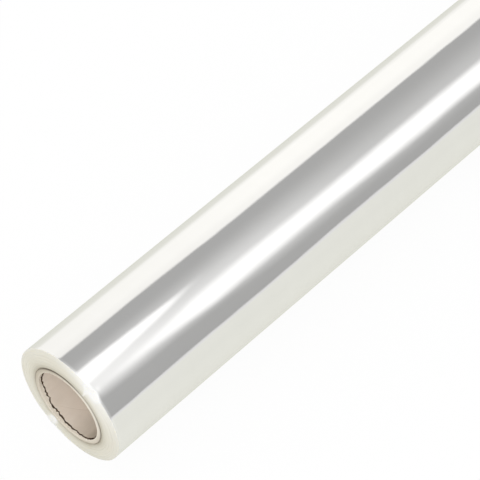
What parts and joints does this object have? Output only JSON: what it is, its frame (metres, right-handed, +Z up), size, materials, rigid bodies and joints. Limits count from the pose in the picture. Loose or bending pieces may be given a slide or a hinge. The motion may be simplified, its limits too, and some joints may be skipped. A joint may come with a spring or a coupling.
{
  "type": "cling film roll",
  "caption": "Roll of clear cling film wound tightly on a cardboard tube, lying on its side on a narrow flat, with an open bore through the tube for a spindle or end plugs.",
  "frame": {"origin": "on the surface that the roll lies on, under the middle of the roll", "axes": "+X along the roll's axis, from the pictured near end to the far end; +Z up; -Y is the side towards the camera and the last turn's step lies on the +Y side"},
  "size_m": [0.45, 0.0652, 0.0648],
  "materials": {
    "tube_card": "matt kraft board, spirally wound, cream cut end",
    "clear_film": "mirror-glossy wound clear film, milky cream cut edges at the ends"
  },
  "bodies": {
    "root": {"core_tube": "tube_card", "film_roll": "clear_film"}
  },
  "joints": []
}
